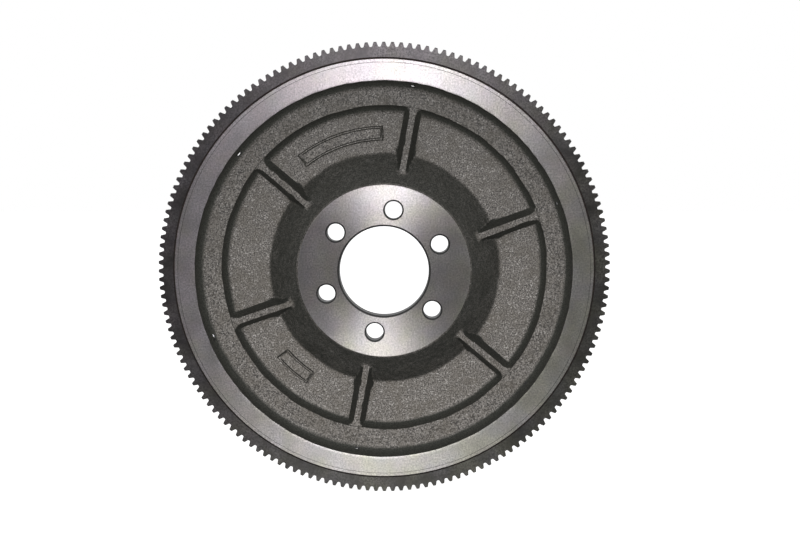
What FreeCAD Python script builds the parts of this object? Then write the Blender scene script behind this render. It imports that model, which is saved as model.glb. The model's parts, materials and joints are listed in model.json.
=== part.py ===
import FreeCAD, Part
import math
import os

import Sketcher

# A cast-iron flywheel with a shrunk-on starter ring gear and three clutch dowels.
# The spin axis is Y: the crankshaft side faces -Y and the clutch side faces +Y, with +Z up.
# The origin is the centre of the face that bolts to the crankshaft.
# Depths are measured from that face towards the clutch. Sizes are in millimetres and degrees.

INCH = 25.4
GEAR_TEETH = 164
GEAR_MODULE = INCH / 12
PITCH_RADIUS = GEAR_MODULE * GEAR_TEETH / 2
GEAR_FRONT_DEPTH = 2.2
GEAR_WIDTH = 10.0
TIP_RADIUS = PITCH_RADIUS + GEAR_MODULE
TOOTH_BEVEL = 0.5
DOWEL_LENGTH = 18.0
DOWEL_SOCKET_DEPTH = 10.0
WHEEL_THICKNESS = 32.0

DIMENSIONS = {
    # hub: the machined pad that meets the crankshaft, and the cone around it
    "bore_radius": 2.75 * INCH / 2,
    "bore_chamfer": 1.4,
    "hub_face_radius": 67.0,
    "hub_thickness": 13.0,
    "cone_foot_radius": 91.7,
    # web: pockets between the ribs, with a cast band around them
    "pocket_depth": 20.0,
    "pocket_outer_radius": 123.5,
    "band_depth": 11.0,
    "band_inner_radius": 127.8,
    "band_outer_radius": 143.0,
    "rib_count": 6,
    "rib_angle": 19.6,
    "rib_half_width": 2.8,
    "rib_inner_radius": 80.0,
    "rib_outer_radius": 131.0,
    "rib_height": 10.0,
    "rib_draft": 28.0,
    "pocket_corner_fillet": 6.0,
    "rib_foot_fillet": 4.0,
    "pocket_floor_fillet": 2.0,
    "pocket_edge_fillet": 1.2,
    "band_fillet": 4.0,
    # rim: the machined face, the ring gear's seat and its shoulder
    "rim_inner_radius": 146.3,
    "rim_step_radius": 160.2,
    "rim_step_depth": 0.3,
    "rim_chamfer": 0.8,
    "seat_radius": 163.5,
    "shoulder_radius": 167.5,
    "shoulder_depth": GEAR_FRONT_DEPTH + GEAR_WIDTH,
    "wheel_thickness": WHEEL_THICKNESS,
    "edge_chamfer": 1.0,
    # clutch side: the recess that clears the clutch's hub
    "recess_floor_radius": 62.0,
    "recess_mouth_radius": 80.0,
    # crankshaft bolts: six on a circle, one moved round so that the wheel fits only one way
    "crank_circle_radius": 48.1,
    "crank_hole_radius": 6.8,
    "crank_hole_chamfer": 1.2,
    "crank_even_count": 5,
    "crank_even_span": 240.0,
    "crank_first_angle": 81.2,
    "crank_odd_angle": 26.0,
    # clutch cover bolts: blind holes from the clutch side, which just break into the band's wall
    "cover_circle_radius": 147.5,
    "cover_hole_radius": 3.4,
    "cover_hole_end_depth": 5.0,
    "cover_hole_chamfer": 0.8,
    "cover_count": 6,
    "cover_angle": 21.2,
    # clutch cover dowels, pressed into blind sockets
    "dowel_circle_radius": 147.5,
    "dowel_foot_radius": 4.5,
    "dowel_radius": 4.0,
    "dowel_chamfer": 0.8,
    "dowel_length": DOWEL_LENGTH,
    "dowel_socket_depth": DOWEL_SOCKET_DEPTH,
    "dowel_foot_depth": WHEEL_THICKNESS - DOWEL_SOCKET_DEPTH,
    "dowel_count": 3,
    "dowel_angle": 51.2,
    # starter ring gear: 12 diametral pitch, with short stub teeth
    "gear_front_depth": GEAR_FRONT_DEPTH,
    "gear_width": GEAR_WIDTH,
    "gear_chamfer": 0.5,
    "tooth_count": GEAR_TEETH,
    "tip_radius": TIP_RADIUS,
    "root_radius": PITCH_RADIUS - 0.75 * GEAR_MODULE,
    "tooth_foot_radius": PITCH_RADIUS - 1.4 * GEAR_MODULE,
    "tooth_tip_half_width": 1.03,
    "tooth_foot_half_width": 2.75,
    "bevel_inner_radius": TIP_RADIUS - TOOTH_BEVEL,
    "bevel_outer_radius": TIP_RADIUS + TOOTH_BEVEL,
    "front_bevel_depth": GEAR_FRONT_DEPTH + 2 * TOOTH_BEVEL,
    "back_bevel_depth": GEAR_FRONT_DEPTH + GEAR_WIDTH - 2 * TOOTH_BEVEL,
}

doc = FreeCAD.newDocument("Flywheel")
sheet = doc.addObject("Spreadsheet::Sheet", "Dimensions")
for row, (name, number) in enumerate(DIMENSIONS.items(), start=1):
    sheet.set(f"A{row}", name)
    sheet.set(f"B{row}", str(round(number, 4)))
    sheet.setAlias(f"B{row}", name)
doc.recompute()

ROOT_POINT = (-1, 1)
HORIZONTAL_AXIS = -1
VERTICAL_AXIS = -2


def size(name):
    return getattr(sheet, name)


def bind(item, path, name):
    """Bind one property of an object, or one constraint of a sketch, to a cell of the sheet."""
    item.setExpression(path, f"{sheet.Name}.{name}")


# Sketches -----------------------------------------------------------------------------------


def new_body(name):
    body = doc.addObject("PartDesign::Body", name)
    body.Label = name
    body.Placement = FreeCAD.Placement()
    return body


def sketch_on(body, role, name):
    """A sketch on one of a body's own origin planes."""
    plane = next(item for item in body.Origin.OriginFeatures if item.Role == role)
    sketch = body.newObject("Sketcher::SketchObject", name)
    sketch.AttachmentSupport = [(plane, "")]
    sketch.MapMode = "FlatFace"
    return sketch


def face_sketch(body, name, depth=None, angle=None):
    """A sketch facing the crankshaft, at a depth, turned counter-clockwise by an angle."""
    sketch = sketch_on(body, "XZ_Plane", name)
    turn = FreeCAD.Rotation(FreeCAD.Vector(0, 0, 1), 1)
    sketch.AttachmentOffset = FreeCAD.Placement(FreeCAD.Vector(), turn)
    if depth:
        # the plane's normal is -Y, so a depth is a negative offset
        sketch.setExpression(".AttachmentOffset.Base.z", f"-{sheet.Name}.{depth}")
    angle_text = f"{sheet.Name}.{angle}" if angle else "0"
    sketch.setExpression(".AttachmentOffset.Rotation.Angle", f"{angle_text} * 1 deg")
    return sketch


def pin_coordinate(sketch, kind, axis, vertex, name):
    """Hold one coordinate of a vertex at a dimension, or on an axis where it has none."""
    if name is None:
        sketch.addConstraint(Sketcher.Constraint("PointOnObject", *vertex, axis))
        return
    sign = -1 if name.startswith("-") else 1
    name = name.lstrip("-")
    ends = (*ROOT_POINT, *vertex) if sign > 0 else (*vertex, *ROOT_POINT)
    index = sketch.addConstraint(Sketcher.Constraint(kind, *ends, size(name)))
    bind(sketch, f"Constraints[{index}]", name)


def outline(sketch, corners):
    """A closed outline of straight lines. Each corner is a pair of dimension names, None for zero."""

    def coordinate(name):
        if name is None:
            return 0.0
        return -size(name[1:]) if name.startswith("-") else size(name)

    points = [FreeCAD.Vector(coordinate(x), coordinate(y), 0) for x, y in corners]
    lines = [
        sketch.addGeometry(Part.LineSegment(start, end), False)
        for start, end in zip(points, points[1:] + points[:1])
    ]
    for line, following in zip(lines, lines[1:] + lines[:1]):
        sketch.addConstraint(Sketcher.Constraint("Coincident", line, 2, following, 1))
    for line, (x, y) in zip(lines, corners):
        pin_coordinate(sketch, "DistanceX", VERTICAL_AXIS, (line, 1), x)
        pin_coordinate(sketch, "DistanceY", HORIZONTAL_AXIS, (line, 1), y)


def hole_sketch(body, name, circle, radius, angle, depth=None):
    """One circle on the sketch's own X axis, at a distance from the spin axis."""
    sketch = face_sketch(body, name, depth, angle)
    centre = FreeCAD.Vector(size(circle), 0, 0)
    normal = FreeCAD.Vector(0, 0, 1)
    sketch.addGeometry(Part.Circle(centre, normal, size(radius)), False)
    pin_coordinate(sketch, "DistanceX", VERTICAL_AXIS, (0, 3), circle)
    pin_coordinate(sketch, "DistanceY", HORIZONTAL_AXIS, (0, 3), None)
    index = sketch.addConstraint(Sketcher.Constraint("Radius", 0, size(radius)))
    bind(sketch, f"Constraints[{index}]", radius)
    return sketch


# Features -----------------------------------------------------------------------------------


def revolve(body, sketch, name, kind="PartDesign::Revolution"):
    feature = body.newObject(kind, name)
    feature.Profile = sketch
    feature.ReferenceAxis = (sketch, ["V_Axis"])
    feature.Angle = 360
    body.Tip = feature
    return feature


def spin_axis(body):
    return next(item for item in body.Origin.OriginFeatures if item.Role == "Y_Axis")


def around(body, feature, name, count, span=None):
    """Repeat a feature about the spin axis, all the way round or over a span of degrees."""
    pattern = body.newObject("PartDesign::PolarPattern", name)
    pattern.Originals = [feature]
    pattern.Axis = (spin_axis(body), [""])
    # a sketch turns counter-clockwise seen from the crankshaft, which is backwards about +Y
    pattern.Reversed = True
    if span:
        bind(pattern, "Angle", span)
    else:
        pattern.Angle = 360
    bind(pattern, "Occurrences", count)
    body.Tip = pattern
    return pattern


def dress(body, kind, name, amount, pick):
    """Round or bevel the edges of the body's newest shape that pick(edge) accepts."""
    doc.recompute()
    base = body.Tip
    chosen = [f"Edge{n}" for n, edge in enumerate(base.Shape.Edges, start=1) if pick(edge)]
    feature = body.newObject(kind, name)
    feature.Base = (base, chosen)
    bind(feature, "Radius" if kind == "PartDesign::Fillet" else "Size", amount)
    body.Tip = feature
    return feature


def fillet(body, name, amount, pick):
    return dress(body, "PartDesign::Fillet", name, amount, pick)


def bevel(body, name, amount, pick):
    return dress(body, "PartDesign::Chamfer", name, amount, pick)


CLOSE = 0.01


def near(number, name):
    """Is a number the same as a dimension? None stands for zero."""
    return abs(number - (size(name) if name else 0.0)) < CLOSE


def off_axis(point):
    return math.hypot(point.x, point.z)


def lies_at(edge, depth):
    """Does the whole edge lie at one depth?"""
    return all(near(vertex.Point.y, depth) for vertex in edge.Vertexes)


def ring_at(radius, depth):
    """Picks the circle around the spin axis at a radius and a depth."""

    def pick(edge):
        start = edge.Vertexes[0].Point
        return lies_at(edge, depth) and near(off_axis(start), radius)

    return pick


def mouth_at(radius, depth):
    """Picks the mouths of the off-centre holes of a radius that open at a depth."""

    def pick(edge):
        curve = edge.Curve
        return (
            isinstance(curve, Part.Circle)
            and near(curve.Radius, radius)
            and near(curve.Center.y, depth)
            and off_axis(curve.Center) > size(radius)
        )

    return pick


def pocket_corner(outer):
    """Picks the corners where the ribs' sides meet the pockets' outer or inner walls."""

    def pick(edge):
        ends = sorted(edge.Vertexes, key=lambda vertex: vertex.Point.y)
        return (
            len(ends) == 2
            and not isinstance(edge.Curve, Part.Line)
            and near(ends[0].Point.y, "band_depth")
            and near(ends[1].Point.y, "pocket_depth")
            and (off_axis(ends[0].Point) > size("cone_foot_radius")) == outer
        )

    return pick


def pocket_floor(edge):
    return lies_at(edge, "pocket_depth")


def pocket_rim(edge):
    """Picks the upper edges of the pockets: the ribs' top edges and the cast band's inner edge."""
    outermost = max(off_axis(vertex.Point) for vertex in edge.Vertexes)
    return lies_at(edge, "band_depth") and outermost < size("rib_outer_radius")


def drill(body, sketch, name):
    """A hole from the sketch out through the clutch side. The sketch faces -Y, so the cut runs +Y."""
    pocket = body.newObject("PartDesign::Pocket", name)
    pocket.Profile = sketch
    pocket.Type = "ThroughAll"
    body.Tip = pocket
    return pocket


# Casting ------------------------------------------------------------------------------------


def build_casting():
    body = new_body("flywheel_casting")
    profile = sketch_on(body, "XY_Plane", "wheel_profile")
    outline(
        profile,
        [
            ("bore_radius", None),
            ("hub_face_radius", None),
            ("cone_foot_radius", "pocket_depth"),
            ("pocket_outer_radius", "pocket_depth"),
            ("band_inner_radius", "band_depth"),
            ("band_outer_radius", "band_depth"),
            ("rim_inner_radius", None),
            ("rim_step_radius", None),
            ("rim_step_radius", "rim_step_depth"),
            ("seat_radius", "rim_step_depth"),
            ("seat_radius", "shoulder_depth"),
            ("shoulder_radius", "shoulder_depth"),
            ("shoulder_radius", "wheel_thickness"),
            ("recess_mouth_radius", "wheel_thickness"),
            ("recess_floor_radius", "hub_thickness"),
            ("bore_radius", "hub_thickness"),
        ],
    )
    revolve(body, profile, "wheel")
    doc.recompute()
    add_ribs(body)
    round_castings(body)
    bevel(body, "rim_bevel", "rim_chamfer", ring_at("seat_radius", "rim_step_depth"))
    bevel(body, "bore_bevel", "bore_chamfer", ring_at("bore_radius", None))
    bevel(body, "back_bevel", "edge_chamfer", ring_at("shoulder_radius", "wheel_thickness"))
    bevel(body, "recess_bevel", "edge_chamfer", ring_at("recess_mouth_radius", "wheel_thickness"))
    drill_crank_holes(body)
    drill_cover_holes(body)
    drill_dowel_sockets(body)
    return body


def round_castings(body):
    """The casting's soft corners. The machined faces keep their sharp edges."""
    fillet(body, "pocket_corners", "pocket_corner_fillet", pocket_corner(outer=True))
    fillet(body, "rib_feet", "rib_foot_fillet", pocket_corner(outer=False))
    fillet(body, "pocket_floors", "pocket_floor_fillet", pocket_floor)
    fillet(body, "pocket_rims", "pocket_edge_fillet", pocket_rim)
    fillet(body, "band_corner", "band_fillet", ring_at("band_outer_radius", "band_depth"))


def add_ribs(body):
    """Straight ribs from the hub's cone to the cast band, with drafted sides."""
    sketch = face_sketch(body, "rib_outline", "band_depth", "rib_angle")
    outline(
        sketch,
        [
            ("rib_inner_radius", "-rib_half_width"),
            ("rib_outer_radius", "-rib_half_width"),
            ("rib_outer_radius", "rib_half_width"),
            ("rib_inner_radius", "rib_half_width"),
        ],
    )
    rib = body.newObject("PartDesign::Pad", "rib")
    rib.Profile = sketch
    rib.Reversed = True
    bind(rib, "Length", "rib_height")
    bind(rib, "TaperAngle", "rib_draft")
    around(body, rib, "ribs", "rib_count")


def drill_crank_holes(body):
    even = hole_sketch(
        body, "crank_hole_outline", "crank_circle_radius", "crank_hole_radius", "crank_first_angle"
    )
    hole = drill(body, even, "crank_hole")
    around(body, hole, "crank_holes", "crank_even_count", "crank_even_span")
    odd = hole_sketch(
        body, "odd_hole_outline", "crank_circle_radius", "crank_hole_radius", "crank_odd_angle"
    )
    drill(body, odd, "odd_crank_hole")
    bevel(body, "crank_hole_bevels", "crank_hole_chamfer", mouth_at("crank_hole_radius", None))


def drill_cover_holes(body):
    sketch = hole_sketch(
        body,
        "cover_hole_outline",
        "cover_circle_radius",
        "cover_hole_radius",
        "cover_angle",
        "cover_hole_end_depth",
    )
    hole = drill(body, sketch, "cover_hole")
    around(body, hole, "cover_holes", "cover_count")
    mouths = mouth_at("cover_hole_radius", "wheel_thickness")
    bevel(body, "cover_hole_bevels", "cover_hole_chamfer", mouths)


def drill_dowel_sockets(body):
    """Blind sockets, cut towards the clutch from the depth of the dowels' feet."""
    sketch = hole_sketch(
        body,
        "dowel_socket_outline",
        "dowel_circle_radius",
        "dowel_foot_radius",
        "dowel_angle",
        "dowel_foot_depth",
    )
    socket = drill(body, sketch, "dowel_socket")
    around(body, socket, "dowel_sockets", "dowel_count")


# Ring gear ----------------------------------------------------------------------------------


def build_ring_gear():
    body = new_body("ring_gear")
    profile = sketch_on(body, "XY_Plane", "ring_profile")
    outline(
        profile,
        [
            ("seat_radius", "gear_front_depth"),
            ("root_radius", "gear_front_depth"),
            ("root_radius", "shoulder_depth"),
            ("seat_radius", "shoulder_depth"),
        ],
    )
    revolve(body, profile, "ring")
    sketch = face_sketch(body, "tooth_outline", "gear_front_depth")
    outline(
        sketch,
        [
            ("tooth_foot_radius", "-tooth_foot_half_width"),
            ("tip_radius", "-tooth_tip_half_width"),
            ("tip_radius", "tooth_tip_half_width"),
            ("tooth_foot_radius", "tooth_foot_half_width"),
        ],
    )
    tooth = body.newObject("PartDesign::Pad", "tooth")
    tooth.Profile = sketch
    tooth.Reversed = True
    bind(tooth, "Length", "gear_width")
    around(body, tooth, "teeth", "tooth_count")
    bevel_tooth_tips(body, "front", "gear_front_depth", "front_bevel_depth")
    bevel_tooth_tips(body, "back", "shoulder_depth", "back_bevel_depth")
    bevel(body, "lead_in", "gear_chamfer", ring_at("seat_radius", "gear_front_depth"))
    return body


def bevel_tooth_tips(body, side, face_depth, inner_depth):
    """Turn a bevel on the ends of all the tooth tips, on one side of the ring."""
    sketch = sketch_on(body, "XY_Plane", f"{side}_bevel_profile")
    outline(
        sketch,
        [
            ("bevel_inner_radius", face_depth),
            ("bevel_outer_radius", face_depth),
            ("bevel_outer_radius", inner_depth),
        ],
    )
    revolve(body, sketch, f"{side}_bevel", kind="PartDesign::Groove")


# Dowels -------------------------------------------------------------------------------------


def build_dowel(number):
    """A stepped pin: a pressed foot as deep as its socket, and a thinner end that stands out."""
    body = new_body(f"dowel_pin_{number}")
    profile = sketch_on(body, "XY_Plane", f"dowel_profile_{number}")
    outline(
        profile,
        [
            (None, None),
            ("dowel_foot_radius", None),
            ("dowel_foot_radius", "dowel_socket_depth"),
            ("dowel_radius", "dowel_socket_depth"),
            ("dowel_radius", "dowel_length"),
            (None, "dowel_length"),
        ],
    )
    revolve(body, profile, f"pin_{number}")
    foot = ring_at("dowel_foot_radius", None)
    tip = ring_at("dowel_radius", "dowel_length")
    bevel(body, f"pin_bevels_{number}", "dowel_chamfer", lambda edge: foot(edge) or tip(edge))
    cells = sheet.Name
    turn = f"({cells}.dowel_angle + {number - 1} * 360 / {cells}.dowel_count) * 1 deg"
    body.setExpression(".Placement.Base.x", f"{cells}.dowel_circle_radius * cos({turn})")
    body.setExpression(".Placement.Base.y", f"{cells}.dowel_foot_depth")
    body.setExpression(".Placement.Base.z", f"{cells}.dowel_circle_radius * sin({turn})")
    return body


# Assembly and export ------------------------------------------------------------------------

pieces = [build_casting(), build_ring_gear()]
pieces += [build_dowel(number + 1) for number in range(int(size("dowel_count")))]
doc.recompute()

for item in doc.Objects:
    if {"Invalid", "Error"} & set(item.State):
        raise RuntimeError(f"{item.Name} did not recompute: {item.State}")
for piece in pieces:
    if piece.Shape.isNull() or not piece.Shape.isValid() or len(piece.Shape.Solids) != 1:
        raise RuntimeError(f"{piece.Label} is not one valid solid")

os.makedirs("parts", exist_ok=True)
for piece in pieces:
    piece.Shape.exportStep(f"parts/{piece.Label}.step")
    print(piece.Label, round(piece.Shape.Volume), "mm3")
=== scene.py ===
import json
import math

import bmesh
import bpy
import numpy as np
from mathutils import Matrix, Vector


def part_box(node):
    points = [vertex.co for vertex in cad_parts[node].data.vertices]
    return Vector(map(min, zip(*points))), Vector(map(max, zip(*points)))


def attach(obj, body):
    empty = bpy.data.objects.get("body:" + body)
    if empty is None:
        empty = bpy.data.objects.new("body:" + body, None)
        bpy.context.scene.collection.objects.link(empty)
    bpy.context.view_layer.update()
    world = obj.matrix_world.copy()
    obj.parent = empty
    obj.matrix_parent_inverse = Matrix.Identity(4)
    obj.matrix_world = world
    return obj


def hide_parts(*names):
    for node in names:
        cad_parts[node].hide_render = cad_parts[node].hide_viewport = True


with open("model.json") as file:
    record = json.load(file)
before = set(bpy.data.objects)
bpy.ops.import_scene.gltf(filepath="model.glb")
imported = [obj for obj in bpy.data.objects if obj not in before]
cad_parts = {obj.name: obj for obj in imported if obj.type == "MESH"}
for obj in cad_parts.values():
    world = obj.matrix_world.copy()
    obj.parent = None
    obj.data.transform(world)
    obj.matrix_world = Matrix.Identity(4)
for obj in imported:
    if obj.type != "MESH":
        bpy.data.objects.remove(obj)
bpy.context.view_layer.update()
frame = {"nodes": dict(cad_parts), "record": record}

MM = 0.001
MOUNTS = {mount["name"]: mount for mount in frame["record"]["mounts"]}

# Sizes --------------------------------------------------------------------------------------
# The spin axis is Y. Depths run from the crankshaft face, at Y = 0, towards the clutch, and
# clock angles from +X towards +Z. Whatever the frame states is read from it. The rest is the
# wheel's own shape, in metres.

_, CASTING_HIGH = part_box("flywheel_casting")
GEAR_LOW, GEAR_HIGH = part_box("ring_gear")
BORE_RADIUS = MOUNTS["crank_register_bore"]["dims"]["r_mm"] * MM
BORE_BEVEL = 1.4 * MM
HUB_THICKNESS = MOUNTS["crank_register_bore"]["dims"]["length_mm"] * MM + BORE_BEVEL
CRANK_HOLE = MOUNTS["crank_bolt_hole_1"]["dims"]["r_mm"] * MM
CRANK_HOLE_BEVEL = HUB_THICKNESS - MOUNTS["crank_bolt_hole_1"]["dims"]["length_mm"] * MM
CRANK_HOLE_BACK_BEVEL = 0.5 * MM
THICKNESS = CASTING_HIGH.y
SHOULDER_RADIUS = CASTING_HIGH.x
GEAR_FRONT, GEAR_BACK = GEAR_LOW.y, GEAR_HIGH.y
TIP_RADIUS = GEAR_HIGH.x

COVER_RADIUS = MOUNTS["cover_bolts"]["dims"]["pcd_mm"] * MM / 2
COVER_COUNT = MOUNTS["cover_bolts"]["dims"]["count"]
COVER_CLOCK = math.radians(21.2)
# an M8 thread's crests stand at its basic minor size, this much inside its tapping size
THREAD_CREST = 0.08 * MM
COVER_HOLE = MOUNTS["cover_bolts"]["dims"]["hole_r_mm"] * MM - THREAD_CREST
COVER_HOLE_END = 8.05 * MM
COVER_HOLE_BEVEL = 0.5 * MM

DOWELS = sorted(node for node in frame["nodes"] if node.startswith("dowel_pin_"))
DOWEL_LOW, DOWEL_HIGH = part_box(DOWELS[0])
DOWEL_FOOT_RADIUS = (DOWEL_HIGH.x - DOWEL_LOW.x) / 2
DOWEL_RADIUS = MOUNTS["cover_dowels"]["dims"]["stud_r_mm"] * MM
DOWEL_BEVEL = 0.8 * MM
DOWEL_STEP = 0.1 * MM

HUB_RADIUS = 67.0 * MM
CONE_FOOT = 91.7 * MM
POCKET_OUTER = 121.0 * MM
BAND_INNER = 127.8 * MM
BAND_OUTER = 139.7 * MM
RIM_INNER = 146.8 * MM
SEAT_RADIUS = 163.5 * MM
RIM_STEP_RADIUS = 160.2 * MM
RIM_STEP = 0.3 * MM
RIM_BEVEL = 1.0 * MM
POCKET_DEPTH = 20.0 * MM
BAND_DEPTH = 11.0 * MM
RECESS_FLOOR = 62.0 * MM
RECESS_MOUTH = 80.0 * MM
EDGE_BEVEL = 1.0 * MM
EDGE_BREAK = 0.3 * MM

# Every cast surface is lifted by a share of its depth, and the rim's inner edge stands off
# centre and wanders, as when sand cores sit a little off in a mould.
CORE_LIFT = 0.03
CORE_SHIFT = 0.46 * MM
CORE_SHIFT_CLOCK = math.radians(218)
EDGE_WANDER = 0.22 * MM

RIB_COUNT = 6
SECTOR = 2 * math.pi / RIB_COUNT
RIB_CLOCK = math.radians(19.6)
RIB_HALF_WIDTH = 2.4 * MM
RIB_SLOPE = 2.1
RIB_FLANK = 4.4 * MM
# a rib's top falls away from the hub, and flares at both ends
RIB_TOP_DEPTH = 8.4 * MM
RIB_TOP_FALL = 3.5 * MM
RIB_INNER_FLARE = 1.7 * MM
RIB_OUTER_FLARE = 0.7 * MM
# how far the rounding of a pocket's corners reaches, as a share of the walls' own width
CORNER = 0.25

# blank raised name plates in the pockets: clock angle in degrees, and half the length
PLATES = ((109, 34 * MM), (228, 15 * MM))
PLATE_RADIUS = 106.5 * MM
PLATE_HALF_HEIGHT = 5.5 * MM
PLATE_RISE = 0.5 * MM
BORDER_RISE = 0.8 * MM
BORDER_INSET = 0.9 * MM

TOOTH_COUNT = 164
GEAR_MODULE = TIP_RADIUS * 2 / (TOOTH_COUNT + 2)
PRESSURE_ANGLE = math.radians(20)
ROOT_SHARE = 0.75         # the teeth's depth below the pitch circle, in modules
TOOTH_SHARE = 1.10        # a tooth's width on the pitch circle, against half a pitch
TOOTH_FOOT_CURVE = 0.4 * MM
TIP_BREAK = 0.12 * MM
GEAR_BEVEL = 0.7 * MM
GEAR_SEAT_BREAK = 0.25 * MM

SMOOTH_LIMIT = math.radians(32)

# Meshes -------------------------------------------------------------------------------------


def piece_from(name, points, faces):
    """A mesh object from an array of points and a list of faces."""
    mesh = bpy.data.meshes.new(name)
    mesh.from_pydata([tuple(p) for p in np.asarray(points).tolist()], [], [tuple(f) for f in faces])
    mesh.update()
    piece = bpy.data.objects.new(name, mesh)
    bpy.context.scene.collection.objects.link(piece)
    return piece


def ring_faces(rows, columns):
    """Quads between successive rings of points. The last ring joins the first."""
    row = np.arange(rows)[:, None]
    column = np.arange(columns)[None, :]
    near = row * columns
    far = (row + 1) % rows * columns
    after = (column + 1) % columns
    quads = np.stack([near + column, near + after, far + after, far + column], axis=-1)
    return quads.reshape(-1, 4).tolist()


def turned(profile, centre, columns):
    """Points and faces of a closed solid turned about an axis along Y.

    The profile is a line of (radius, depth) that starts and ends at radius zero.
    """
    points, faces, previous = [], [], None
    for radius, depth in profile:
        start = len(points)
        if radius == 0.0:
            points.append((centre[0], depth, centre[1]))
            ring = [start] * columns
        else:
            for n in range(columns):
                turn = 2 * math.pi * n / columns
                x = centre[0] + radius * math.cos(turn)
                z = centre[1] + radius * math.sin(turn)
                points.append((x, depth, z))
            ring = list(range(start, start + columns))
        if previous:
            for n in range(columns):
                after = (n + 1) % columns
                corners = (previous[n], previous[after], ring[after], ring[n])
                faces.append(tuple(dict.fromkeys(corners)))
        previous = ring
    return points, faces


def flip_outward(piece):
    """Turn all faces outward, by the sign of the mesh's volume."""
    work = bmesh.new()
    work.from_mesh(piece.data)
    if work.calc_volume(signed=True) < 0:
        bmesh.ops.reverse_faces(work, faces=work.faces[:])
    work.to_mesh(piece.data)
    work.free()


def shade_smooth(mesh):
    """Smooth shading, with a crisp edge wherever two faces meet at more than the limit."""
    mesh.polygons.foreach_set("use_smooth", np.ones(len(mesh.polygons), bool))
    mesh.set_sharp_from_angle(angle=SMOOTH_LIMIT)


def place_of(node):
    """Where the middle of a CAD node stands in the wheel's plane."""
    low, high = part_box(node)
    middle = (low + high) / 2
    return middle.x, middle.z


def smooth_step(low, high, x):
    """Rises smoothly from 0 at low to 1 at high, and is held beyond them."""
    t = np.clip((x - low) / (high - low), 0.0, 1.0)
    return t * t * (3 - 2 * t)


def soft_max(a, b, width):
    """The larger of two heights, with the corner between them rounded over a width."""
    gap = np.clip(1 - np.abs(a - b) / width, 0.0, 1.0)
    return np.maximum(a, b) + gap * gap * width / 4


def soft_min(a, b, width):
    """The smaller of two heights, with the corner between them rounded over a width."""
    return -soft_max(-a, -b, width)


def lattice_noise(x, z, wavelength, seed):
    """Smooth noise between -1 and 1 over the wheel's plane, repeatable from its seed."""
    size = 256
    table = np.random.default_rng(seed).uniform(-1, 1, (size, size))
    u, v = x / wavelength, z / wavelength
    column, row = np.floor(u).astype(int), np.floor(v).astype(int)
    fu, fv = u - column, v - row
    fu, fv = fu * fu * (3 - 2 * fu), fv * fv * (3 - 2 * fv)

    def corner(i, j):
        return table[(row + j) % size, (column + i) % size]

    low = corner(0, 0) * (1 - fu) + corner(1, 0) * fu
    high = corner(0, 1) * (1 - fu) + corner(1, 1) * fu
    return low * (1 - fv) + high * fv


# Casting ------------------------------------------------------------------------------------

# The casting is one closed grid of rings and spokes. The spokes next to a rib stand at these
# distances across it, and the others are spread evenly up to the middle between two ribs.
# Beyond a rib's ends, its spokes keep the angles that they have at one radius.
SPOKES_BESIDE = np.array([0.0, 1.0, 1.7, 2.3, 3.0, 3.8, 4.7, 5.7, 6.8, 8.1, 9.6, 11.2]) * MM
SPOKES_BETWEEN = 42
SPOKES_RADIUS = 105 * MM
WEB_RINGS = 78
BAND_RINGS = 18


def spoke_angles(radii):
    """The angle of every spoke at every radius. Beside a rib they run along it, elsewhere outward."""
    at_rib = smooth_step(60 * MM, 77 * MM, radii) * (1 - smooth_step(129 * MM, 145 * MM, radii))
    reach = SPOKES_RADIUS * (1 - at_rib) + radii * at_rib
    along_rib = np.arcsin(SPOKES_BESIDE[None, :] / reach[:, None])
    last = along_rib[:, -1:]
    # half a step is left before the middle between two ribs, where the next sector goes on
    share = np.arange(1, SPOKES_BETWEEN + 1) / (SPOKES_BETWEEN + 0.5)
    outward = last + (SECTOR / 2 - last) * share[None, :]
    half = np.concatenate([along_rib, outward], axis=1)
    sector = np.concatenate([-half[:, :0:-1], half], axis=1)
    return np.concatenate([sector + RIB_CLOCK + n * SECTOR for n in range(RIB_COUNT)], axis=1)


def plates_height(radius, angle):
    """The blank name plates and their raised borders, above the pockets' floors."""
    height = np.zeros_like(radius)
    for clock, half_length in PLATES:
        from_middle = np.angle(np.exp(1j * (angle - math.radians(clock)))) * PLATE_RADIUS
        along = np.abs(from_middle) - half_length
        across = np.abs(radius - PLATE_RADIUS) - PLATE_HALF_HEIGHT
        outside = np.hypot(np.maximum(along, 0), np.maximum(across, 0))
        outside += np.minimum(np.maximum(along, across), 0)
        height += PLATE_RISE * (1 - smooth_step(-0.3 * MM, 0.6 * MM, outside))
        from_border = np.abs(outside + BORDER_INSET)
        height += BORDER_RISE * (1 - smooth_step(0.35 * MM, 1.0 * MM, from_border))
    return height


def scoop(share):
    """A wall that sweeps up from 0 to 1 as its share of the way goes from 0 to 1, steepest at the top."""
    return 1 - np.sqrt(1 - np.clip(share, 0.0, 1.0) ** 2)


def rib_top(radius):
    """Height of the ribs' tops and half their width."""
    height = -(RIB_TOP_DEPTH + RIB_TOP_FALL * smooth_step(74 * MM, 114 * MM, radius))
    half = RIB_HALF_WIDTH + RIB_INNER_FLARE * (1 - smooth_step(76 * MM, 84 * MM, radius))
    half = half + RIB_OUTER_FLARE * smooth_step(117 * MM, 127 * MM, radius)
    return height, half


def cast_roughness(radius, x, z):
    """Unevenness of the cast skin, which fades out at the machined faces."""
    rough = 0.05 * lattice_noise(x, z, 6.3 * MM, 11)
    rough += 0.06 * lattice_noise(x, z, 2.7 * MM, 12)
    rough += 0.06 * lattice_noise(x, z, 1.7 * MM, 13)
    inside = smooth_step(HUB_RADIUS, HUB_RADIUS + 3 * MM, radius)
    return rough * MM * inside * (1 - smooth_step(RIM_INNER - 2.5 * MM, RIM_INNER, radius))


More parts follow.
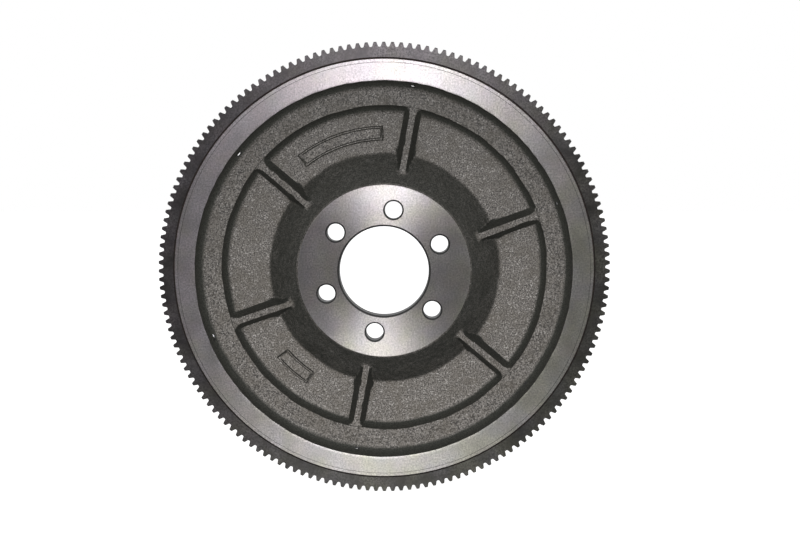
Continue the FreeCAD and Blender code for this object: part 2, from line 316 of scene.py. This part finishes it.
def web_height(radius, angle):
    """Height of the cast surface towards the crankshaft, zero at the machined faces."""
    x, z = radius * np.cos(angle), radius * np.sin(angle)
    reach = radius + 0.3 * MM * lattice_noise(x, z, 14 * MM, 5)
    cone = -(reach - HUB_RADIUS) * POCKET_DEPTH / (CONE_FOOT - HUB_RADIUS)

    from_rib = np.angle(np.exp(1j * (angle - RIB_CLOCK) * RIB_COUNT)) / RIB_COUNT
    across = np.abs(radius * np.sin(from_rib) + 0.2 * MM * lattice_noise(x, z, 9 * MM, 8))
    crest, half = rib_top(radius)
    top = crest - 3 * np.maximum(radius - BAND_INNER, 0.0)
    rib = soft_min(top - (across - half) * RIB_SLOPE, top, 1.0 * MM)

    # the pockets: a wall that sweeps up to the band, and rounded corners where it meets the ribs
    up_wall = (reach - POCKET_OUTER) / (BAND_INNER - POCKET_OUTER)
    up_rib = 1 - (across - RIB_HALF_WIDTH) / RIB_FLANK
    corner = np.hypot(np.maximum(up_wall + CORNER, 0.0), np.maximum(up_rib + CORNER, 0.0)) - CORNER
    wall = (POCKET_DEPTH - BAND_DEPTH) * scoop(up_wall)
    fill = (POCKET_DEPTH + crest) * scoop(corner)
    floor = np.maximum(wall, fill) - POCKET_DEPTH

    band = np.where(reach < BAND_INNER, -POCKET_DEPTH, -BAND_DEPTH)
    band = band + BAND_DEPTH * scoop((radius - BAND_OUTER) / (RIM_INNER - BAND_OUTER))

    web = soft_max(floor, rib, 2.4 * MM)
    web = soft_max(web, cone, 1.0 * MM)
    web = np.maximum(web, band) + plates_height(radius, angle)
    return np.minimum(web + cast_roughness(radius, x, z), 0.0)


def front_rings():
    """Radius and depth of the rings from the bore to the ring gear's seat, and whether they are cast."""
    hub = [BORE_RADIUS + BORE_BEVEL, 40 * MM, 47 * MM, 53 * MM, 59 * MM, 64 * MM]
    hub += [HUB_RADIUS - EDGE_BREAK]
    cast = np.linspace(HUB_RADIUS, BAND_INNER - 1.6 * MM, WEB_RINGS).tolist()
    cast += (BAND_INNER + np.array([-1.0, -0.5, -0.2, 0.0, 0.4, 0.9]) * MM).tolist()
    cast += np.linspace(BAND_INNER + 1.6 * MM, RIM_INNER - 1.6 * MM, BAND_RINGS).tolist()
    cast += (RIM_INNER + np.array([-1.0, -0.6, -0.3, -0.1]) * MM).tolist()
    rim = [(RIM_INNER, EDGE_BREAK), (RIM_INNER + 2 * EDGE_BREAK, 0.0), (RIM_INNER + 2 * MM, 0.0)]
    rim += [(154 * MM, 0.0), (RIM_STEP_RADIUS - 0.25 * MM, 0.0), (RIM_STEP_RADIUS + 0.1 * MM, RIM_STEP)]
    rim += [(SEAT_RADIUS - RIM_BEVEL, RIM_STEP), (SEAT_RADIUS, RIM_STEP + RIM_BEVEL)]
    rows = [(BORE_RADIUS, BORE_BEVEL, False)]
    rows += [(radius, 0.0, False) for radius in hub]
    rows += [(radius, 0.0, True) for radius in cast]
    rows += [(radius, depth, False) for radius, depth in rim]
    return rows


def back_rings():
    """Radius and depth of the rings from the ring gear's seat, over the clutch side, to the bore."""
    rings = [(SEAT_RADIUS, GEAR_BACK), (SHOULDER_RADIUS - EDGE_BREAK, GEAR_BACK)]
    rings += [(SHOULDER_RADIUS, GEAR_BACK + EDGE_BREAK), (SHOULDER_RADIUS, GEAR_BACK + 9 * MM)]
    rings += [(SHOULDER_RADIUS, THICKNESS - EDGE_BEVEL), (SHOULDER_RADIUS - EDGE_BEVEL, THICKNESS)]
    rings += [(radius * MM, THICKNESS) for radius in (160, 154, 146, 138, 130, 120, 110, 100, 90)]
    rings += [(RECESS_MOUTH + EDGE_BEVEL, THICKNESS)]
    recess_slope = (RECESS_MOUTH - RECESS_FLOOR) / (THICKNESS - HUB_THICKNESS)
    rings += [(RECESS_MOUTH - EDGE_BEVEL * recess_slope, THICKNESS - EDGE_BEVEL)]
    for share in (0.33, 0.66):
        depth = THICKNESS - EDGE_BEVEL - share * (THICKNESS - EDGE_BEVEL - HUB_THICKNESS)
        rings += [(RECESS_FLOOR + (depth - HUB_THICKNESS) * recess_slope, depth)]
    rings += [(RECESS_FLOOR, HUB_THICKNESS)]
    rings += [(radius * MM, HUB_THICKNESS) for radius in (58, 53, 47, 41)]
    rings += [(BORE_RADIUS + EDGE_BREAK, HUB_THICKNESS), (BORE_RADIUS, HUB_THICKNESS - EDGE_BREAK)]
    return [(radius, depth, False) for radius, depth in rings]


def build_casting():
    rows = front_rings() + back_rings()
    radii = np.array([row[0] for row in rows])
    depths = np.array([row[1] for row in rows])
    cast = np.array([row[2] for row in rows])
    angle = spoke_angles(radii)
    radius = np.repeat(radii[:, None], angle.shape[1], axis=1)
    depth = np.repeat(depths[:, None], angle.shape[1], axis=1)
    depth[cast] = -web_height(radius[cast], angle[cast])
    depth[radii == HUB_RADIUS] = np.maximum(depth[radii == HUB_RADIUS], EDGE_BREAK)
    # the edge between the turned rim and the rough casting wanders, and stands off centre
    x, z = radius * np.cos(angle), radius * np.sin(angle)
    near_edge = 1 - smooth_step(0.8 * MM, 5 * MM, np.abs(radius - RIM_INNER))
    wander = EDGE_WANDER * lattice_noise(x, z, 6 * MM, 21)
    wander = (wander + CORE_SHIFT * np.cos(angle - CORE_SHIFT_CLOCK)) * near_edge
    radius = radius + np.where(depths[:, None] <= EDGE_BREAK, wander, 0.0)
    lift = np.where(cast[:, None], CORE_LIFT * depth, 0.0)
    points = np.stack([radius * np.cos(angle), depth, radius * np.sin(angle) + lift], axis=-1)
    faces = ring_faces(len(rows), angle.shape[1])
    casting = piece_from("casting", points.reshape(-1, 3), faces)
    flip_outward(casting)
    return casting


def hole_cutter(centre, radius, top, bottom, top_bevel=0.0, bottom_bevel=0.0, columns=40):
    """A plug that cuts a round hole between two depths, with a bevel at its mouths."""
    over = 1.0 * MM
    profile = [(0.0, top)]
    if top_bevel:
        profile = [(0.0, top - over), (radius + top_bevel + over, top - over)]
    profile += [(radius, top + top_bevel), (radius, bottom - bottom_bevel)]
    if bottom_bevel:
        profile += [(radius + bottom_bevel + over, bottom + over)]
    profile += [(0.0, bottom + (over if bottom_bevel else 0.0))]
    return turned(profile, centre, columns)


def cut(piece, cutters, name):
    """Cut all the plugs, given as (points, faces), from a piece."""
    points, faces = [], []
    for plug_points, plug_faces in cutters:
        start = len(points)
        points += plug_points
        faces += [tuple(start + n for n in face) for face in plug_faces]
    tool = piece_from(name, points, faces)
    flip_outward(tool)
    boolean = piece.modifiers.new(name, "BOOLEAN")
    boolean.object = tool
    boolean.operation = "DIFFERENCE"
    boolean.solver = "MANIFOLD"
    graph = bpy.context.evaluated_depsgraph_get()
    mesh = bpy.data.meshes.new_from_object(piece.evaluated_get(graph), depsgraph=graph)
    piece.modifiers.clear()
    piece.data = mesh
    bpy.data.objects.remove(tool)


def crank_hole_places():
    mounts = [MOUNTS[name] for name in sorted(MOUNTS) if name.startswith("crank_bolt_hole_")]
    return [(mount["pos_m"][0], mount["pos_m"][2]) for mount in mounts]


def cover_hole_places():
    clocks = [COVER_CLOCK + n * 2 * math.pi / COVER_COUNT for n in range(COVER_COUNT)]
    return [(COVER_RADIUS * math.cos(a), COVER_RADIUS * math.sin(a)) for a in clocks]


def drill_casting(casting):
    """Cut the crankshaft bolt holes, the clutch cover bolt holes and the dowels' sockets."""
    plugs = [
        hole_cutter(place, CRANK_HOLE, 0.0, HUB_THICKNESS, CRANK_HOLE_BEVEL, CRANK_HOLE_BACK_BEVEL, 64)
        for place in crank_hole_places()
    ]
    plugs += [
        hole_cutter(place, COVER_HOLE, COVER_HOLE_END, THICKNESS, bottom_bevel=COVER_HOLE_BEVEL)
        for place in cover_hole_places()
    ]
    plugs += [
        hole_cutter(place_of(node), DOWEL_FOOT_RADIUS, DOWEL_LOW.y, THICKNESS + MM) for node in DOWELS
    ]
    cut(casting, plugs, "drill")


# Materials ----------------------------------------------------------------------------------


class Nodes:
    """A node tree, with short calls for adding nodes and joining them."""

    def __init__(self, tree):
        self.tree = tree

    def add(self, kind, inputs=None, **settings):
        node = self.tree.nodes.new(kind)
        for key, value in settings.items():
            setattr(node, key, value)
        for key, value in (inputs or {}).items():
            self.join(value, node.inputs[key])
        return node

    def join(self, value, socket):
        if isinstance(value, bpy.types.NodeSocket):
            self.tree.links.new(value, socket)
        else:
            socket.default_value = value

    def ramp(self, value, low, high, from_value, to_value):
        """Maps low..high of a value to two numbers, held beyond them."""
        inputs = {"Value": value, "From Min": low, "From Max": high}
        inputs.update({"To Min": from_value, "To Max": to_value})
        return self.add("ShaderNodeMapRange", inputs).outputs["Result"]

    def maths(self, operation, *values):
        node = self.add("ShaderNodeMath", operation=operation)
        for n, value in enumerate(values):
            self.join(value, node.inputs[n])
        return node.outputs[0]


class MaterialNodes(Nodes):
    """A new material's node tree. Its sizes are in metres, in the piece's own space."""

    def __init__(self, name):
        self.material = bpy.data.materials.new(name)
        self.material.use_nodes = True
        super().__init__(self.material.node_tree)
        self.shader = self.tree.nodes["Principled BSDF"]
        self.place = self.add("ShaderNodeTexCoord").outputs["Object"]

    def noise(self, size, detail=2.0, roughness=0.5):
        """Noise between about 0 and 1, whose features are about a size in metres."""
        inputs = {"Vector": self.place, "Scale": 1 / size, "Detail": detail, "Roughness": roughness}
        return self.add("ShaderNodeTexNoise", inputs).outputs["Fac"]

    def mix(self, share, first, second, blend="MIX"):
        node = self.add("ShaderNodeMix", data_type="RGBA", blend_type=blend)
        self.join(share, node.inputs[0])
        self.join(first, node.inputs[6])
        self.join(second, node.inputs[7])
        return node.outputs[2]

    def bump(self, height, distance, strength=1.0):
        inputs = {"Height": height, "Distance": distance, "Strength": strength}
        return self.add("ShaderNodeBump", inputs).outputs["Normal"]

    def from_axis(self):
        """Distance from the spin axis, and the direction away from it."""
        parts = self.add("ShaderNodeSeparateXYZ", {"Vector": self.place}).outputs
        flat = self.add("ShaderNodeCombineXYZ", {"X": parts["X"], "Z": parts["Z"]}).outputs[0]
        radius = self.add("ShaderNodeVectorMath", {0: flat}, operation="LENGTH").outputs["Value"]
        outward = self.add("ShaderNodeVectorMath", {0: flat}, operation="NORMALIZE").outputs[0]
        return radius, outward

    def set(self, **values):
        for key, value in values.items():
            self.join(value, self.shader.inputs[key.replace("_", " ")])


def grey(value, warm=0.0):
    return (value * (1 + warm), value, value * (1 - warm), 1.0)


def cast_material():
    """Sand-cast iron: speckled and fairly bright where it lies flat, and painted dark on its slopes as
    shade.
    """
    m = MaterialNodes("cast_iron_skin")
    grain = m.noise(1.05 * MM, 3.0, 0.6)
    specks = m.noise(1.2 * MM, 1.0)
    lumps = m.noise(3.5 * MM, 2.0)
    stains = m.noise(14 * MM, 3.0)
    sand = m.ramp(grain, 0.4, 0.6, 0.0, 1.0)
    flats = m.mix(sand, grey(0.07, 0.08), grey(0.34, 0.08))
    flats = m.mix(m.ramp(specks, 0.62, 0.70, 0.0, 1.0), flats, grey(0.6, 0.05))
    flats = m.mix(m.ramp(stains, 0.4, 0.7, 0.0, 0.45), flats, (0.17, 0.15, 0.12, 1.0))
    # painted light: the flats are brighter in the lower half, as if lit from below, and a little brighter
    # on the pockets' floors
    _, depth, height = m.add("ShaderNodeSeparateXYZ", {"Vector": m.place}).outputs
    painted_light_and_pocket_lift = m.ramp(height, -0.13, 0.13, 1.18, 0.55)
    painted_light_and_pocket_lift = m.maths("MULTIPLY", painted_light_and_pocket_lift, m.ramp(depth, 0.012, 0.016, 1.0, 1.12))
    channels = {"Red": painted_light_and_pocket_lift, "Green": painted_light_and_pocket_lift, "Blue": painted_light_and_pocket_lift}
    painted_light_and_pocket_lift = m.add("ShaderNodeCombineColor", channels).outputs[0]
    flats = m.mix(1.0, flats, painted_light_and_pocket_lift, "MULTIPLY")
    # painted shade for the slopes, a little lighter on the slopes towards the rim than on the cone and
    # the ribs
    painted_slope_shade = m.mix(sand, (0.022, 0.0225, 0.019, 1.0), (0.050, 0.051, 0.043, 1.0))
    painted_rim_slope_shade = m.mix(sand, (0.031, 0.032, 0.027, 1.0), (0.070, 0.071, 0.060, 1.0))
    radius, _ = m.from_axis()
    painted_slope_shade = m.mix(m.ramp(radius, 114 * MM, 123 * MM, 0.0, 1.0), painted_slope_shade, painted_rim_slope_shade)
    normal = m.add("ShaderNodeTexCoord").outputs["Normal"]
    facing = m.maths("ABSOLUTE", m.add("ShaderNodeSeparateXYZ", {"Vector": normal}).outputs["Y"])
    # the colour goes from the painted slope shade to the flats as a face turns to look along the axis
    m.set(
        Base_Color=m.mix(m.ramp(facing, 0.745, 0.975, 0.0, 1.0), painted_slope_shade, flats),
        Metallic=0.15,
        Roughness=m.ramp(lumps, 0.3, 0.7, 0.48, 0.62),
        Normal=m.bump(m.maths("ADD", grain, m.maths("MULTIPLY", lumps, 0.8)), 0.3 * MM, 0.8),
    )
    return m.material


def turned_material(name, tone, fleck=0.8, roughness=0.475, anisotropic=0.94, patches=0.14):
    """A face with fine rings left by a lathe, which spread a highlight along the radius.

    The fleck share says how strongly its dark flecks show, and the patches share how far its
    large patches stray from its tone.
    """
    m = MaterialNodes(name)
    radius, outward = m.from_axis()
    ring_inputs = {"W": m.maths("DIVIDE", radius, 0.7 * MM), "Detail": 3.0}
    rings = m.add("ShaderNodeTexNoise", ring_inputs, noise_dimensions="1D").outputs["Fac"]
    grain = m.noise(1.3 * MM, 3.0, 0.65)
    cloud = m.noise(20 * MM, 4.0, 0.55)
    mottle = m.noise(5 * MM, 3.0, 0.6)
    smears = m.noise(7 * MM, 2.0)
    dark, bright = grey(tone * (1 - patches)), grey(tone * (1 + patches))
    colour = m.mix(m.ramp(cloud, 0.35, 0.65, 0.0, 1.0), dark, bright)
    colour = m.mix(m.ramp(mottle, 0.35, 0.65, 0.0, 0.4), colour, grey(tone * 0.75))
    colour = m.mix(m.ramp(grain, 0.38, 0.62, 0.0, fleck), colour, grey(tone * 0.55))
    colour = m.mix(m.ramp(smears, 0.5, 0.75, 0.0, 0.35), colour, grey(tone * 0.8, 0.03))
    colour = m.mix(m.ramp(rings, 0.5, 0.75, 0.0, 0.3), colour, grey(tone * 0.7, 0.02))
    # a thin, patchy film tints the iron violet on one side and olive on the other
    across, _, up = m.add("ShaderNodeSeparateXYZ", {"Vector": m.place}).outputs
    ragged = m.ramp(m.noise(18 * MM, 2.0), 0.25, 0.75, -0.2, 0.2)
    side = m.maths("ADD", m.maths("SUBTRACT", across, up), ragged)
    film = m.mix(m.ramp(side, -0.22, 0.24, 0.0, 1.0), (1.08, 0.975, 1.03, 1.0), (1.02, 1.0, 0.87, 1.0))
    film = m.mix(m.ramp(m.noise(26 * MM, 2.0), 0.42, 0.62, 0.0, 0.4), film, (1.0, 0.98, 1.06, 1.0))
    # the pad is duller towards the bore
    dulled = m.ramp(radius, 42 * MM, 60 * MM, 0.07, 0.0)
    cloudy = m.ramp(cloud, 0.3, 0.7, roughness - 0.04, roughness + 0.04)
    m.set(
        Base_Color=m.mix(1.0, colour, film, "MULTIPLY"),
        Metallic=1.0,
        Roughness=m.maths("ADD", cloudy, dulled),
        Anisotropic=anisotropic,
        Tangent=outward,
        Normal=m.bump(m.maths("ADD", m.maths("MULTIPLY", rings, 0.1), grain), 0.09 * MM),
    )
    return m.material


def joint_material(name):
    """The groove between the rim and the ring gear, painted dark rust-brown as the shade in the groove.
    """
    m = MaterialNodes(name)
    grain = m.noise(1.5 * MM, 3.0)
    groove_shade, rusty_groove_shade = (0.016, 0.013, 0.012, 1.0), (0.05, 0.032, 0.026, 1.0)
    m.set(
        Base_Color=m.mix(m.ramp(grain, 0.4, 0.65, 0.0, 1.0), groove_shade, rusty_groove_shade),
        Roughness=0.7,
        Normal=m.bump(grain, 0.1 * MM),
    )
    return m.material


def bored_material():
    """The walls and bevels of drilled and bored holes, painted dark as the shade in them."""
    m = MaterialNodes("bored_iron")
    grain = m.noise(0.7 * MM, 2.0)
    colour = m.mix(m.ramp(grain, 0.4, 0.7, 0.0, 1.0), grey(0.10), grey(0.05, 0.02))
    m.set(Base_Color=colour, Metallic=1.0, Roughness=m.ramp(grain, 0.3, 0.7, 0.3, 0.42))
    return m.material


def dowel_material():
    """Ground steel, bright and smooth."""
    m = MaterialNodes("dowel_steel")
    grain = m.noise(0.6 * MM, 2.0)
    colour = m.mix(m.ramp(grain, 0.4, 0.7, 0.0, 1.0), grey(0.5), grey(0.36, 0.02))
    m.set(Base_Color=colour, Metallic=1.0, Roughness=m.ramp(grain, 0.3, 0.7, 0.22, 0.34))
    return m.material


CAST, TURNED, TURNED_PAD, BORED, GROUND, JOINT = range(6)
# how far from its own place a face may stand and still be painted with it
COVER_MARGIN = 0.4 * MM
SOCKET_MARGIN = 0.1 * MM
DEPTH_MARGIN = 0.05 * MM


def hole_regions():
    """The centre of every hole, how far from it the bored finish reaches, and from what depth."""
    regions = [(place, CRANK_HOLE + CRANK_HOLE_BEVEL, -MM) for place in crank_hole_places()]
    cover_reach = COVER_HOLE + COVER_HOLE_BEVEL + COVER_MARGIN
    regions += [(place, cover_reach, COVER_HOLE_END - EDGE_BREAK) for place in cover_hole_places()]
    socket_reach = DOWEL_FOOT_RADIUS + SOCKET_MARGIN
    regions += [(place_of(node), socket_reach, HUB_THICKNESS) for node in DOWELS]
    return regions


def paint_casting(casting):
    """Give each face the finish of the tool that made it: sand mould, lathe, drill or grinder. The holes'
    walls, the rim's bevel at the ring gear and the rim's fine step are painted dark as shade.
    """
    mesh = casting.data
    mesh.materials.clear()
    for material in (
        cast_material(),
        turned_material("turned_iron", 0.71, roughness=0.455),
        turned_material("turned_pad", 0.69, roughness=0.443, anisotropic=0.982),
        bored_material(),
        turned_material("ground_iron", 0.68, fleck=0.35, roughness=0.44),
        joint_material("rim_joint"),
    ):
        mesh.materials.append(material)
    count = len(mesh.polygons)
    centres = np.zeros(count * 3)
    mesh.polygons.foreach_get("center", centres)
    x, depth, z = centres.reshape(-1, 3).T
    radius = np.hypot(x, z)
    finish = np.full(count, CAST)
    finish[(radius > RIM_INNER - MM) & (depth < EDGE_BREAK)] = TURNED
    finish[radius > RIM_INNER + 3 * MM] = TURNED
    finish[radius < BORE_RADIUS + BORE_BEVEL] = BORED
    hub = (radius < HUB_RADIUS) & (radius > BORE_RADIUS + BORE_BEVEL)
    finish[hub & (depth < EDGE_BREAK)] = TURNED_PAD
    finish[hub & (radius < RECESS_FLOOR) & (depth > HUB_THICKNESS - EDGE_BREAK)] = TURNED
    finish[depth > THICKNESS - EDGE_BREAK] = GROUND
    # faces that lie flat at a machined depth are beside a hole, however near to it they reach
    normals = np.zeros(count * 3)
    mesh.polygons.foreach_get("normal", normals)
    machined_depths = np.array([0.0, HUB_THICKNESS, THICKNESS])
    on_machined = np.abs(depth[:, None] - machined_depths).min(axis=1) < DEPTH_MARGIN
    flat = on_machined & (np.abs(normals.reshape(-1, 3)[:, 1]) > 0.99)
    for (hole_x, hole_z), reach, start in hole_regions():
        finish[(np.hypot(x - hole_x, z - hole_z) < reach) & (depth > start) & ~flat] = BORED
    # the rim's bevel at the ring gear takes the groove's painted shade
    finish[(radius > SEAT_RADIUS - RIM_BEVEL) & (depth < GEAR_BACK)] = JOINT
    # the rim's fine step takes the cast skin, whose slope colour draws it as a thin line of painted shade
    finish[(np.abs(radius - RIM_STEP_RADIUS) < 0.3 * MM) & (depth < RIM_STEP)] = CAST
    mesh.polygons.foreach_set("material_index", finish.astype(np.int32))
    shade_smooth(mesh)


# Ring gear ----------------------------------------------------------------------------------


def tooth_outline():
    """One tooth pitch as angles from the tooth's middle and radii: gap, root curve, flank, tip."""
    pitch = 2 * math.pi / TOOTH_COUNT
    pitch_radius = GEAR_MODULE * TOOTH_COUNT / 2
    root = pitch_radius - ROOT_SHARE * GEAR_MODULE
    base = pitch_radius * math.cos(PRESSURE_ANGLE)

    def involute(radius):
        roll = math.sqrt(max((radius / base) ** 2 - 1, 0.0))
        return roll - math.atan(roll)

    half_at_pitch = pitch / 4 * TOOTH_SHARE
    flank_radii = np.linspace(root + TOOTH_FOOT_CURVE, TIP_RADIUS - TIP_BREAK, 6)
    flank = [(half_at_pitch + involute(pitch_radius) - involute(r), r) for r in flank_radii]
    foot_angle = flank[0][0]
    gap_half = pitch / 2 - foot_angle
    curve = []
    for share in (0.62, 0.3, 0.12):
        rise = (1 - math.sin(share * math.pi / 2)) ** 1.6
        curve.append((foot_angle + gap_half * share, root + TOOTH_FOOT_CURVE * rise))
    tip = [(flank[-1][0] - 0.14 * MM / TIP_RADIUS, TIP_RADIUS)]
    side = [(pitch / 2, root)] + curve + flank + tip
    left = [(-a, r) for a, r in side]
    return left + [(a, r) for a, r in reversed(side[1:])]


def build_ring_gear():
    outline = tooth_outline()
    pitch = 2 * math.pi / TOOTH_COUNT
    angle = np.concatenate([[a + n * pitch for a, _ in outline] for n in range(TOOTH_COUNT)])
    full = np.tile([r for _, r in outline], TOOTH_COUNT)
    columns = len(angle)
    root = full.min()

    def ring(radius, depth):
        radius = np.broadcast_to(radius, columns)
        return np.stack([radius * np.cos(angle), np.full(columns, depth), radius * np.sin(angle)], axis=1)

    trimmed = np.minimum(full, TIP_RADIUS - GEAR_BEVEL)
    half_trimmed = np.minimum(full, TIP_RADIUS - GEAR_BEVEL / 2)
    rings = [
        ring(SEAT_RADIUS, GEAR_BACK - GEAR_SEAT_BREAK),
        ring(SEAT_RADIUS, GEAR_FRONT + GEAR_BEVEL),
        ring(SEAT_RADIUS + GEAR_BEVEL, GEAR_FRONT),
        ring(root - 2.2 * MM, GEAR_FRONT),
        ring(root - 0.3 * MM, GEAR_FRONT),
        ring(trimmed - 0.05 * MM, GEAR_FRONT),
        ring(half_trimmed, GEAR_FRONT + GEAR_BEVEL / 2),
        ring(full, GEAR_FRONT + GEAR_BEVEL),
        ring(full, GEAR_BACK - GEAR_BEVEL),
        ring(trimmed, GEAR_BACK),
        ring(root - 0.3 * MM, GEAR_BACK),
        ring(SEAT_RADIUS + GEAR_SEAT_BREAK, GEAR_BACK),
    ]
    faces = ring_faces(len(rings), columns)
    gear = piece_from("starter_ring_gear", np.concatenate(rings), faces)
    flip_outward(gear)
    steel = turned_material("ring_gear_steel", 0.165, 0.9, roughness=0.49, anisotropic=0.86, patches=0.5)
    gear.data.materials.append(steel)
    # the lead-in bevel beside the seat takes the groove's painted shade
    gear.data.materials.append(joint_material("ring_gear_joint"))
    for face in gear.data.polygons:
        x, depth, z = face.center
        if math.hypot(x, z) < SEAT_RADIUS + GEAR_BEVEL and depth < GEAR_FRONT + GEAR_BEVEL:
            face.material_index = 1
    shade_smooth(gear.data)
    return gear


# Dowels -------------------------------------------------------------------------------------


def build_dowel(node, material):
    """A pin with a thick foot in its socket, and a slimmer end that stands proud of the clutch face."""
    low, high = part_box(node)
    profile = [
        (0.0, low.y),
        (DOWEL_FOOT_RADIUS - DOWEL_BEVEL, low.y),
        (DOWEL_FOOT_RADIUS, low.y + DOWEL_BEVEL),
        (DOWEL_FOOT_RADIUS, THICKNESS - DOWEL_STEP),
        (DOWEL_RADIUS + DOWEL_STEP, THICKNESS),
        (DOWEL_RADIUS, THICKNESS + DOWEL_STEP),
        (DOWEL_RADIUS, high.y - DOWEL_BEVEL),
        (DOWEL_RADIUS - 0.3 * DOWEL_BEVEL, high.y - 0.4 * DOWEL_BEVEL),
        (DOWEL_RADIUS - DOWEL_BEVEL, high.y),
        (0.0, high.y),
    ]
    points, faces = turned(profile, place_of(node), 48)
    pin = piece_from(node.replace("pin", "peg"), points, faces)
    flip_outward(pin)
    pin.data.materials.append(material)
    shade_smooth(pin.data)
    return pin


# Studio -------------------------------------------------------------------------------------

WHITE = (1.0, 1.0, 1.0, 1.0)
# the surround's strength: as mirrored in metal, straight ahead and around, and on dull surfaces
WORLD_AHEAD = 0.055
WORLD_AROUND = 0.6
WORLD_DIFFUSE = 0.35

FLOOR_REACH = 6.0
FLOOR_GAP = 0.5 * MM

# The camera stands in front of the crankshaft face, a little to the right and above the axis.
FOCAL_LENGTH = 45.0
CAMERA_BACK = 0.772
CAMERA_RIGHT = 0.0209 * CAMERA_BACK
CAMERA_UP = 0.0963 * CAMERA_BACK
AIM = Vector((0.0124, 0.0, 0.0038))

# The light's place and aim are in the camera's own space: to its right, above and behind it.
KEY_PLACE = Vector((-0.013, 0.12, 0.0))
KEY_AIM = Vector((0.0, 0.0, -CAMERA_BACK))
KEY_SIZE = (0.12, 0.10)
KEY_POWER = 2.35


def build_world():
    """A surround that looks white. The light that it sheds on metal is dim straight ahead of the
    crankshaft face, and bright to the sides and behind."""
    world = bpy.data.worlds.new("studio")
    bpy.context.scene.world = world
    world.use_nodes = True
    # light path nodes are only right for rays that reach the world by themselves
    world.cycles.sampling_method = "NONE"
    w = Nodes(world.node_tree)
    w.tree.nodes.clear()
    path = w.add("ShaderNodeLightPath").outputs
    direction = w.add("ShaderNodeTexCoord").outputs["Generated"]
    parts = w.add("ShaderNodeSeparateXYZ", {0: direction}).outputs
    mirrored = w.ramp(parts["Y"], -0.85, -0.35, WORLD_AHEAD, WORLD_AROUND)
    mirrored = w.maths("MULTIPLY", mirrored, w.ramp(parts["Z"], -1.0, 1.0, 0.7, 1.3))
    strengths = {0: path["Is Diffuse Ray"], 2: mirrored, 3: WORLD_DIFFUSE}
    strength = w.add("ShaderNodeMix", strengths).outputs[0]
    felt = w.add("ShaderNodeBackground", {"Color": WHITE, "Strength": strength}).outputs[0]
    seen = w.add("ShaderNodeBackground", {"Color": WHITE, "Strength": 1.0}).outputs[0]
    mix = w.add("ShaderNodeMixShader", {0: path["Is Camera Ray"], 1: felt, 2: seen}).outputs[0]
    w.add("ShaderNodeOutputWorld", {"Surface": mix})


def build_floor():
    """A pale floor under the wheel, which glows to look as white as the surround."""
    low = -TIP_RADIUS - FLOOR_GAP
    turns = ((-1, -1), (1, -1), (1, 1), (-1, 1))
    corners = [(x * FLOOR_REACH, y * FLOOR_REACH, low) for x, y in turns]
    floor = piece_from("floor", corners, [(0, 1, 2, 3)])
    m = MaterialNodes("pale_floor")
    m.set(
        Base_Color=m.mix(m.noise(0.3, 2.0), grey(0.82), grey(0.86)),
        Roughness=0.9,
        Emission_Color=WHITE,
        Emission_Strength=0.93,
    )
    floor.data.materials.append(m.material)
    floor.visible_glossy = False
    floor.visible_diffuse = False


def build_camera():
    data = bpy.data.cameras.new("camera")
    data.lens = FOCAL_LENGTH
    camera = bpy.data.objects.new("camera", data)
    bpy.context.scene.collection.objects.link(camera)
    camera.location = (CAMERA_RIGHT, -CAMERA_BACK, CAMERA_UP)
    camera.rotation_mode = "QUATERNION"
    camera.rotation_quaternion = (AIM - camera.location).to_track_quat("-Z", "Y")
    bpy.context.scene.camera = camera
    return camera


def build_key_light(camera):
    """A small soft panel that keeps its place beside the camera."""
    data = bpy.data.lights.new("key", "AREA")
    data.shape = "RECTANGLE"
    data.size, data.size_y = KEY_SIZE
    data.energy = KEY_POWER
    light = bpy.data.objects.new("key", data)
    bpy.context.scene.collection.objects.link(light)
    light.parent = camera
    light.location = KEY_PLACE
    light.rotation_mode = "QUATERNION"
    light.rotation_quaternion = (KEY_AIM - KEY_PLACE).to_track_quat("-Z", "Y")


# Assembly -----------------------------------------------------------------------------------

casting = build_casting()
drill_casting(casting)
paint_casting(casting)
pin_steel = dowel_material()
pieces = {"flywheel_casting": casting, "ring_gear": build_ring_gear()}
for node in DOWELS:
    pieces[node] = build_dowel(node, pin_steel)
for node, piece in pieces.items():
    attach(piece, "root")
    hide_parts(node)

build_world()
build_floor()
build_key_light(build_camera())
bpy.context.scene.view_settings.view_transform = "Standard"
